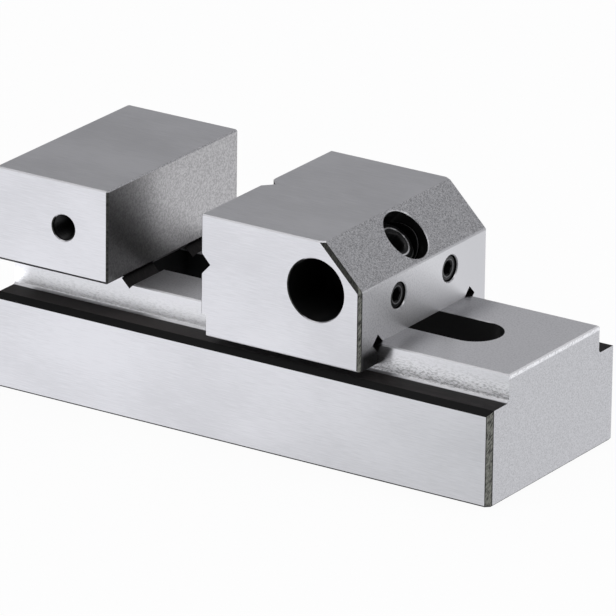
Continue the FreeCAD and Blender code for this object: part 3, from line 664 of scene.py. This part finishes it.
def finish_block():
    made = Finish("block_steel")
    upward = made.above(made.nz, 0.35, 0.1)
    flange = made.all_of(
        upward, made.below(made.z, FLANGE_TOP + 0.1), made.above(made.z, FLANGE_TOP - 1.0),
        made.above(made.beside, RAIL_SIDE + 0.42, 0.05),
    )
    downward = made.below(made.nz, -0.5, 0.1)
    ceiling = made.all_of(
        downward, made.above(made.z, RAIL_TOP), made.below(made.z, GROOVE_CEILING + 0.6),
    )
    # The downward break along the foot takes the blackened colour, which draws a dark line along the
    # bottom edges.
    foot_edge = made.all_of(downward, made.below(made.z, 0.35), made.above(made.z, 0.01, 0.005))
    slanted = made.all_of(
        made.above(made.math("ABSOLUTE", made.nx), 0.3, 0.05),
        made.above(made.math("ABSOLUTE", made.nz), 0.3, 0.05),
    )
    near_relief = made.below(made.distance(made.x, made.z, JAW_FACE, RAIL_TOP), 2.2)
    relief = made.all_of(slanted, near_relief)
    slot = made.all_of(
        made.below(made.beside, SLOT_HALF), made.below(made.z, RAIL_TOP - 0.03, 0.01),
        made.above(made.z, POCKET_CEILING), made.below(made.math("ABSOLUTE", made.x), SLOT_REACH),
    )
    pocket = made.all_of(
        made.below(made.beside, POCKET_HALF), made.above(made.z, 0.05),
        made.below(made.z, NOTCH_TOP), made.below(made.math("ABSOLUTE", made.x), POCKET_REACH),
    )
    stop = made.all_of(
        made.below(made.distance(made.x, made.z, *STOP_HOLE), 2.03, 0.01),
        made.below(made.beside, HALF_WIDTH - 0.1),
    )
    flange_rim = made.all_of(flange, made.above(made.facing_side, 0.4, 0.05))
    bore = made.any_of(slot, stop, flange_rim)
    filed = made.all_of(
        made.above(made.math("ABSOLUTE", made.nx), 0.5, 0.05), made.above(made.facing_side, 0.5, 0.05),
    )
    milled = made.all_of(
        made.above(made.facing_side, 0.9, 0.03), made.below(made.beside, RAIL_SIDE + 0.1),
        made.above(made.beside, RAIL_SIDE - 0.2), made.above(made.z, FLANGE_TOP - 0.1),
    )
    edge = made.all_of(
        made.above(made.facing_side, 0.4, 0.05), made.above(made.nz, 0.4, 0.05),
    )
    # Painted shade: the fixed jaw's clamp face is darkened.
    painted_shade_mask = made.all_of(
        made.above(made.nx, 0.9, 0.05), made.below(made.x, JAW_FACE + 0.1),
        made.above(made.x, JAW_FACE - 0.1), made.above(made.z, RAIL_TOP),
    )
    rail_top = made.all_of(
        made.above(made.nz, 0.9, 0.05), made.below(made.z, RAIL_TOP + 0.1),
        made.above(made.z, RAIL_TOP - 0.1),
    )
    black = made.any_of(flange, ceiling, relief, foot_edge)
    bevel = (18.74, 0.60)
    end_break = made.all_of(
        made.above(made.nx, 0.9, 0.05), made.above(made.z, RAIL_TOP - BREAK_HEIGHT, 0.12),
        made.above(made.x, END_X),
    )
    # The rail top gets painted light and the top band of the rail's open end a painted highlight; the
    # pocket keeps its own milled grey.
    tone_and_painted_light = made.any_of(rail_top, pocket, end_break)
    tone_and_painted_light_colour = made.blend(end_break, made.blend(pocket, RAIL_TOP_PAINTED_LIGHT, POCKET), END_BREAK_PAINTED_HIGHLIGHT)
    dress_steel(
        made, black, bore, filed, bevel, milled, edge, painted_shade_mask, FIXED_CLAMPING_PAINTED_SHADE, tone_and_painted_light, tone_and_painted_light_colour,
    )
    return made.material


NODES["vise_body"].data.materials.clear()
NODES["vise_body"].data.materials.append(finish_block())
print("block finish has", len(bpy.data.materials["block_steel"].node_tree.nodes), "nodes")

# %% [markdown]
# ## Finish of the sliding jaw
#
# The jaw is ground on all its flats. Its cross bore, the slanted screw hole, the two small holes
# in its back, the vee grooves and the reliefs are dark, and so are the filed bevels that run down
# the slope and the rear edges. The rear face gets painted light, strongest on the camera's side,
# the clamp face painted shade, and the foot of its near leg the same painted shade.

# %% Sliding jaw finish
SWIVEL = (13.35, 27.55)
JAW_FRONT = -6.9
JAW_BACK = 21.2
SET_SCREW_PLACES = (7.05, 25.3)
VEE_HALF = 2.0
VEE_TOP = 35.0
VEE_HEIGHT = 27.6
CHANNEL_HALF = 15.0
LEG_FOOT = 18.7


def finish_jaw():
    made = Finish("jaw_steel")
    bore = made.all_of(
        made.below(made.distance(made.x, made.z, *SWIVEL), 4.88, 0.01),
        made.below(made.beside, HALF_WIDTH - 0.1),
    )
    along = made.math("ADD", made.x, made.z)
    off_axis = made.math("SUBTRACT", made.math("SUBTRACT", made.z, made.x), SWIVEL[1] - SWIVEL[0])
    off_axis = made.math("MULTIPLY", off_axis, math.sqrt(0.5))
    radial = made.math("SQRT", made.math(
        "ADD", made.math("MULTIPLY", off_axis, off_axis), made.math("MULTIPLY", made.y, made.y)))
    slope = JAW_BACK - 6.6 + 35.3
    hole = made.all_of(made.below(radial, 4.18, 0.01), made.below(along, slope - 0.17, 0.02))
    taps = made.all_of(
        made.below(made.distance(made.beside, made.z, *SET_SCREW_PLACES), 2.06, 0.01),
        made.below(made.x, JAW_BACK - 0.1), made.above(made.x, JAW_BACK / 3),
    )
    into = made.below(made.nx, -0.3, 0.05)
    tilted = made.any_of(
        made.above(made.facing_side, 0.4, 0.05), made.above(made.math("ABSOLUTE", made.nz), 0.4, 0.05),
    )
    vee = made.all_of(
        into, tilted, made.below(made.z, VEE_TOP),
        made.any_of(made.below(made.beside, VEE_HALF), made.below(
            made.math("ABSOLUTE", made.math("SUBTRACT", made.z, VEE_HEIGHT)), VEE_HALF)),
    )
    reliefs = made.all_of(
        made.above(made.facing_side, 0.3, 0.05), made.above(made.math("ABSOLUTE", made.nz), 0.3, 0.05),
        made.below(made.z, 22.0), made.below(made.beside, CHANNEL_HALF),
    )
    filed = made.all_of(
        made.above(made.nx, 0.3, 0.05), made.above(made.facing_side, 0.5, 0.05),
        made.above(made.beside, CHANNEL_HALF),
    )
    edge = made.all_of(
        made.above(made.facing_side, 0.4, 0.05), made.above(made.nz, 0.4, 0.05),
        made.below(made.nx, 0.3, 0.05), made.above(made.beside, CHANNEL_HALF),
    )
    # Painted shade: the sliding jaw's clamp face is darkened.
    painted_shade_mask = made.all_of(made.below(made.nx, -0.9, 0.05), made.below(made.x, JAW_FRONT + 0.1))
    black = made.any_of(vee, reliefs)
    holes = made.any_of(bore, hole, taps)
    bevel = (2.616, 0.389)
    rear = made.all_of(made.above(made.nx, 0.9, 0.03), made.above(made.x, JAW_BACK - 0.1))
    leg = made.all_of(
        made.below(made.z, LEG_FOOT, 0.7), made.below(made.beside, 17.0, 0.8), made.below(made.y, 0.0),
    )
    # Painted light on the rear face, fading from the camera's side to the far side.
    rear_painted_light_tone = made.blend(made.above(made.y, 0.0, 14.0), REAR_PAINTED_LIGHT_NEAR, REAR_PAINTED_LIGHT_FAR)
    # Painted shade: the foot of the near leg's rear face gets the same dark tone as the clamp face.
    painted_shade_mask = made.any_of(painted_shade_mask, made.all_of(leg, rear))
    dress_steel(
        made, black, holes, filed, bevel, 0.0, edge, painted_shade_mask, SLIDING_CLAMPING_PAINTED_SHADE, rear, rear_painted_light_tone,
    )
    return made.material


NODES["sliding_jaw"].data.materials.clear()
NODES["sliding_jaw"].data.materials.append(finish_jaw())
print("jaw finish has", len(bpy.data.materials["jaw_steel"].node_tree.nodes), "nodes")

# %% [markdown]
# ## Black oxide and dark turned steel
#
# The screws are black oxide: a thin, slightly glossy black, with painted highlights on the rims of
# the heads and sockets. The anchor pin is turned and hardened, a dark grey with fine rings. The
# trunnion is turned too, but sits deep in the jaw and is painted almost black as painted shade, with
# a painted highlight on the edge of its counterbore.

# %% Screw and pin finishes
OXIDE = (0.005, 0.005, 0.005, 1)
OXIDE_WORN = (0.014, 0.014, 0.015, 1)
# Painted highlight on the rims of screw heads, sockets and the counterbore.
RIM_PAINTED_HIGHLIGHT = (0.80, 0.80, 0.81, 1)


def ring(made, radius_place, radius, width):
    """A thin band at one distance from an axis."""
    off = made.math("ABSOLUTE", made.math("SUBTRACT", radius_place, radius))
    return made.below(off, width / 2, 0.05)


def finish_oxide(name, painted_highlight_mask):
    """Black oxide, with a painted highlight where a mask asks for it."""
    made = Finish(name)
    cloud = made.noise(made.place, 0.9, 4.0, 0.6)
    fine = made.noise(made.place, 9.0, 2.0, 0.6)
    painted_highlight = painted_highlight_mask(made)
    colour = made.blend(made.above(cloud, 0.55, 0.2), OXIDE, OXIDE_WORN)
    made.feed(made.skin.inputs["Base Color"], made.blend(painted_highlight, colour, RIM_PAINTED_HIGHLIGHT))
    made.feed(made.skin.inputs["Roughness"], made.between(fine, 0.24, 0.42))
    made.feed(made.skin.inputs["Metallic"], made.between(painted_highlight, 0.15, 1.0))
    made.skin.inputs["Specular IOR Level"].default_value = 0.18
    made.bump(fine, 0.003)
    return made.material


SCREW_LEAN = math.radians(90.0 - 49.0489)


def around_screw(made):
    """Height above the seat of the head, and distance from the leaning screw's own axis."""
    from_x = made.math("SUBTRACT", made.x, SWIVEL[0])
    from_z = made.math("SUBTRACT", made.z, SWIVEL[1])
    across = made.math("SUBTRACT", made.math("MULTIPLY", from_x, math.cos(SCREW_LEAN)),
                       made.math("MULTIPLY", from_z, math.sin(SCREW_LEAN)))
    height = made.math("ADD", made.math("MULTIPLY", from_x, math.sin(SCREW_LEAN)),
                       made.math("MULTIPLY", from_z, math.cos(SCREW_LEAN)))
    radius = made.math("SQRT", made.math("ADD", made.math("MULTIPLY", across, across),
                                         made.math("MULTIPLY", made.y, made.y)))
    return height, radius


def clamp_screw_rims(made):
    """Where the painted highlights go on the head: a ring on its top, and a fainter one at its rim."""
    height, radius = around_screw(made)
    rim = made.math("MULTIPLY", ring(made, radius, 3.32, 0.2), 0.12)
    return made.all_of(made.above(height, 3.55, 0.05), made.any_of(ring(made, radius, 2.45, 0.24), rim))


def set_screw_rims(made):
    """Painted highlights on the outer rim and the mouth of the socket of a screw that lies along X."""
    radius = made.distance(made.beside, made.z, *SET_SCREW_PLACES)
    end = made.above(made.x, JAW_BACK - 0.75, 0.05)
    outer = made.math("MULTIPLY", ring(made, radius, 1.88, 0.12), 0.1)
    mouth = made.math("MULTIPLY", ring(made, radius, 1.35, 0.14), 0.2)
    return made.all_of(end, made.any_of(mouth, outer))


def no_rim(made):
    return 0.0


def counterbore_rim(made):
    """A painted highlight on the edge where the screw head sinks into the trunnion."""
    height, radius = around_screw(made)
    bright = made.math("MULTIPLY", ring(made, radius, 4.0, 0.2), 0.3)
    return made.all_of(made.above(height, 2.0, 0.05), bright)


def finish_turned(name, dark, pale, painted_highlight_mask):
    """Dark hardened steel, turned in fine rings, with a painted highlight where a mask asks for it."""
    made = Finish(name)
    painted_highlight = painted_highlight_mask(made)
    rings = made.noise(made.stretch(0.25, 7.0, 0.25), 1.0, 3.0, 0.6)
    cloud = made.noise(made.place, 0.5, 3.0)
    colour = made.blend(made.above(cloud, 0.5, 0.25), dark, pale)
    made.feed(made.skin.inputs["Base Color"], made.blend(painted_highlight, colour, RIM_PAINTED_HIGHLIGHT))
    made.feed(made.skin.inputs["Roughness"], made.between(rings, 0.25, 0.5))
    made.skin.inputs["Metallic"].default_value = 0.8
    made.skin.inputs["Specular IOR Level"].default_value = 0.18
    made.bump(rings, 0.003)
    return made.material


oxide = finish_oxide("oxide_black", clamp_screw_rims)
small_oxide = finish_oxide("oxide_black_small", set_screw_rims)
# Painted shade: the trunnion, deep in the jaw, is made almost black.
SWIVEL_PAINTED_SHADE = (0.004, 0.004, 0.004, 1)
SWIVEL_PAINTED_SHADE_PALE = (0.010, 0.010, 0.010, 1)
TURNED = (0.06, 0.06, 0.062, 1)
TURNED_PALE = (0.14, 0.14, 0.145, 1)
turned = finish_turned("turned_dark_steel", TURNED, TURNED_PALE, no_rim)
swivel_steel = finish_turned("turned_swivel_steel", SWIVEL_PAINTED_SHADE, SWIVEL_PAINTED_SHADE_PALE, counterbore_rim)
for name, finish in (
    ("clamp_screw", oxide), ("set_screw_front", small_oxide), ("set_screw_back", small_oxide),
    ("trunnion", swivel_steel), ("anchor_pin", turned),
):
    NODES[name].data.materials.clear()
    NODES[name].data.materials.append(finish)
print("materials:", sorted(m.name for m in bpy.data.materials))

# %% [markdown]
# ## Threads
#
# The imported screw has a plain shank, because a thread is too fine for the mechanism to need. On
# the real one it is an M4 thread, and it shows from below and in the stop holes. A thread could be
# faked with bump, but then its outline stays smooth. The screw modifier makes a true one: it turns
# an outline one pitch high around the axis, and climbs one pitch for every turn.

# %% Thread helper
PITCH = 0.7
THREAD_STEPS = 28


def outline_piece(name, points, closed):
    """An outline in the XZ plane, in millimetres, drawn by extruding one corner at a time."""
    bpy.ops.object.select_all(action="DESELECT")
    bpy.ops.mesh.primitive_plane_add(size=1.0, location=(0, 0, 0))
    piece = bpy.context.object
    piece.name = name
    bpy.ops.object.mode_set(mode="EDIT")
    bpy.ops.mesh.select_all(action="SELECT")
    bpy.ops.mesh.merge(type="CENTER")
    bpy.ops.transform.translate(value=(points[0][0], 0, points[0][1]))
    for before, after in zip(points, points[1:]):
        step = (after[0] - before[0], 0, after[1] - before[1])
        bpy.ops.mesh.extrude_region_move(TRANSFORM_OT_translate={"value": step})
    if closed:
        bpy.ops.mesh.select_all(action="SELECT")
        bpy.ops.mesh.edge_face_add()
        bpy.ops.mesh.delete(type="ONLY_FACE")
    bpy.ops.object.mode_set(mode="OBJECT")
    return piece


def wind(piece, turns, start):
    """Turns an outline into a helix along Z that begins at the given height."""
    coil = piece.modifiers.new("coil", "SCREW")
    coil.angle = 2 * math.pi
    coil.screw_offset = PITCH
    coil.iterations = turns
    coil.steps = THREAD_STEPS
    coil.render_steps = THREAD_STEPS
    coil.use_merge_vertices = True
    coil.merge_threshold = 0.001
    bpy.ops.object.modifier_apply(modifier=coil.name)
    bpy.ops.object.mode_set(mode="EDIT")
    bpy.ops.mesh.select_all(action="SELECT")
    bpy.ops.mesh.remove_doubles(threshold=0.001)
    bpy.ops.transform.translate(value=(0, 0, start))
    bpy.ops.object.mode_set(mode="OBJECT")


def trim(place, normal, threshold=0.0001):
    """Cuts away what lies beyond a plane and closes the cut."""
    bpy.ops.object.mode_set(mode="EDIT")
    bpy.ops.mesh.select_all(action="SELECT")
    bpy.ops.mesh.bisect(
        plane_co=place, plane_no=normal, use_fill=True, clear_outer=True, threshold=threshold,
    )
    bpy.ops.object.mode_set(mode="OBJECT")


def settle(piece, move):
    """Puts a piece that was drawn in millimetres in its place, and keeps the place in its mesh."""
    piece.data.transform(move @ Matrix.Scale(MM, 4))
    bpy.ops.object.select_all(action="DESELECT")
    piece.select_set(True)
    bpy.context.view_layer.objects.active = piece
    bpy.ops.object.mode_set(mode="EDIT")
    bpy.ops.mesh.select_all(action="SELECT")
    bpy.ops.mesh.normals_make_consistent(inside=False)
    bpy.ops.object.mode_set(mode="OBJECT")


print("thread helper ready")

# %% [markdown]
# ## The clamp screw
#
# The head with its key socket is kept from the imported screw: a copy is merged and cut off at its
# seat. The threaded shank is wound under it, cut square at both ends, and joined to the head. The
# screw hangs on a line through the trunnion, so it is drawn upright and then leaned over.

# %% Clamp screw
SCREW_LENGTH = 30.0
MAJOR = 2.0
MINOR = 1.57
SCREW_PLACE = Vector((SWIVEL[0], 0.0, SWIVEL[1]))

lean = Matrix.Translation(SCREW_PLACE * MM) @ Matrix.Rotation(SCREW_LEAN, 4, "Y")
thread = [(MINOR, 0.0), (MINOR, 0.09), (MAJOR, 0.31), (MAJOR, 0.39), (MINOR, 0.61), (MINOR, PITCH)]
shank = outline_piece("clamp_screw_shank", thread, closed=False)
wind(shank, int(SCREW_LENGTH / PITCH) + 2, -SCREW_LENGTH - PITCH)
trim((0, 0, -SCREW_LENGTH), (0, 0, -1))
trim((0, 0, 0.2), (0, 0, 1))
settle(shank, lean)

head = NODES["clamp_screw"].copy()
head.data = NODES["clamp_screw"].data.copy()
bpy.context.scene.collection.objects.link(head)
head.parent = None
head.name = "clamp_screw_threaded"
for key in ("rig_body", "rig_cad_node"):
    if key in head:
        del head[key]
bpy.ops.object.select_all(action="DESELECT")
head.select_set(True)
bpy.context.view_layer.objects.active = head
bpy.ops.object.mode_set(mode="EDIT")
bpy.ops.mesh.select_all(action="SELECT")
bpy.ops.mesh.remove_doubles(threshold=1e-7)
bpy.ops.object.mode_set(mode="OBJECT")
axis = lean.to_3x3() @ Vector((0, 0, 1))
trim(lean @ Vector((0, 0, 0.00001)), -axis, threshold=1e-7)
shank.select_set(True)
bpy.ops.object.join()
bpy.ops.object.select_all(action="DESELECT")
bpy.ops.object.select_pattern(pattern=head.name)
bpy.ops.object.shade_smooth_by_angle(angle=math.radians(32))
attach(head, "clamp_screw")
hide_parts("clamp_screw")
print("threaded screw has", len(head.data.polygons), "faces")

# %% [markdown]
# ## Threads in the stop holes
#
# The two side holes of the fixed jaw take a work stop, so they are tapped. Each thread is one
# ridge with a triangular section that winds along the hole's wall.

# %% Stop hole threads
RIDGE_DEPTH = 0.32
HOLE_TURNS = 11
HOLE_DEPTH = 8.2

for name, facing in (("stop_thread_front", -1), ("stop_thread_back", 1)):
    ridge = outline_piece(
        name, [(MAJOR - 0.005, 0.06), (MAJOR - RIDGE_DEPTH, 0.33), (MAJOR - 0.005, 0.60)], closed=True,
    )
    wind(ridge, HOLE_TURNS, -HOLE_DEPTH)
    bpy.ops.object.mode_set(mode="EDIT")
    bpy.ops.mesh.select_all(action="DESELECT")
    bpy.ops.mesh.select_non_manifold()
    bpy.ops.mesh.edge_face_add()
    bpy.ops.object.mode_set(mode="OBJECT")
    mouth = Vector((STOP_HOLE[0], facing * (HALF_WIDTH - 0.25), STOP_HOLE[1]))
    tip = Matrix.Rotation(facing * math.radians(-90), 4, "X")
    settle(ridge, Matrix.Translation(mouth * MM) @ tip)
    bpy.ops.object.shade_smooth_by_angle(angle=math.radians(32))
    ridge.data.materials.append(small_oxide)
    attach(ridge, "vise_body")
    low = [round(min(v.co[i] for v in ridge.data.vertices) / MM, 2) for i in range(3)]
    high = [round(max(v.co[i] for v in ridge.data.vertices) / MM, 2) for i in range(3)]
    print(name, "lies from", low, "to", high)

# %% [markdown]
# ## The view transform
#
# The picture keeps plain colours, so the view transform is Standard.

# %% Finish
bpy.context.scene.view_settings.view_transform = "Standard"
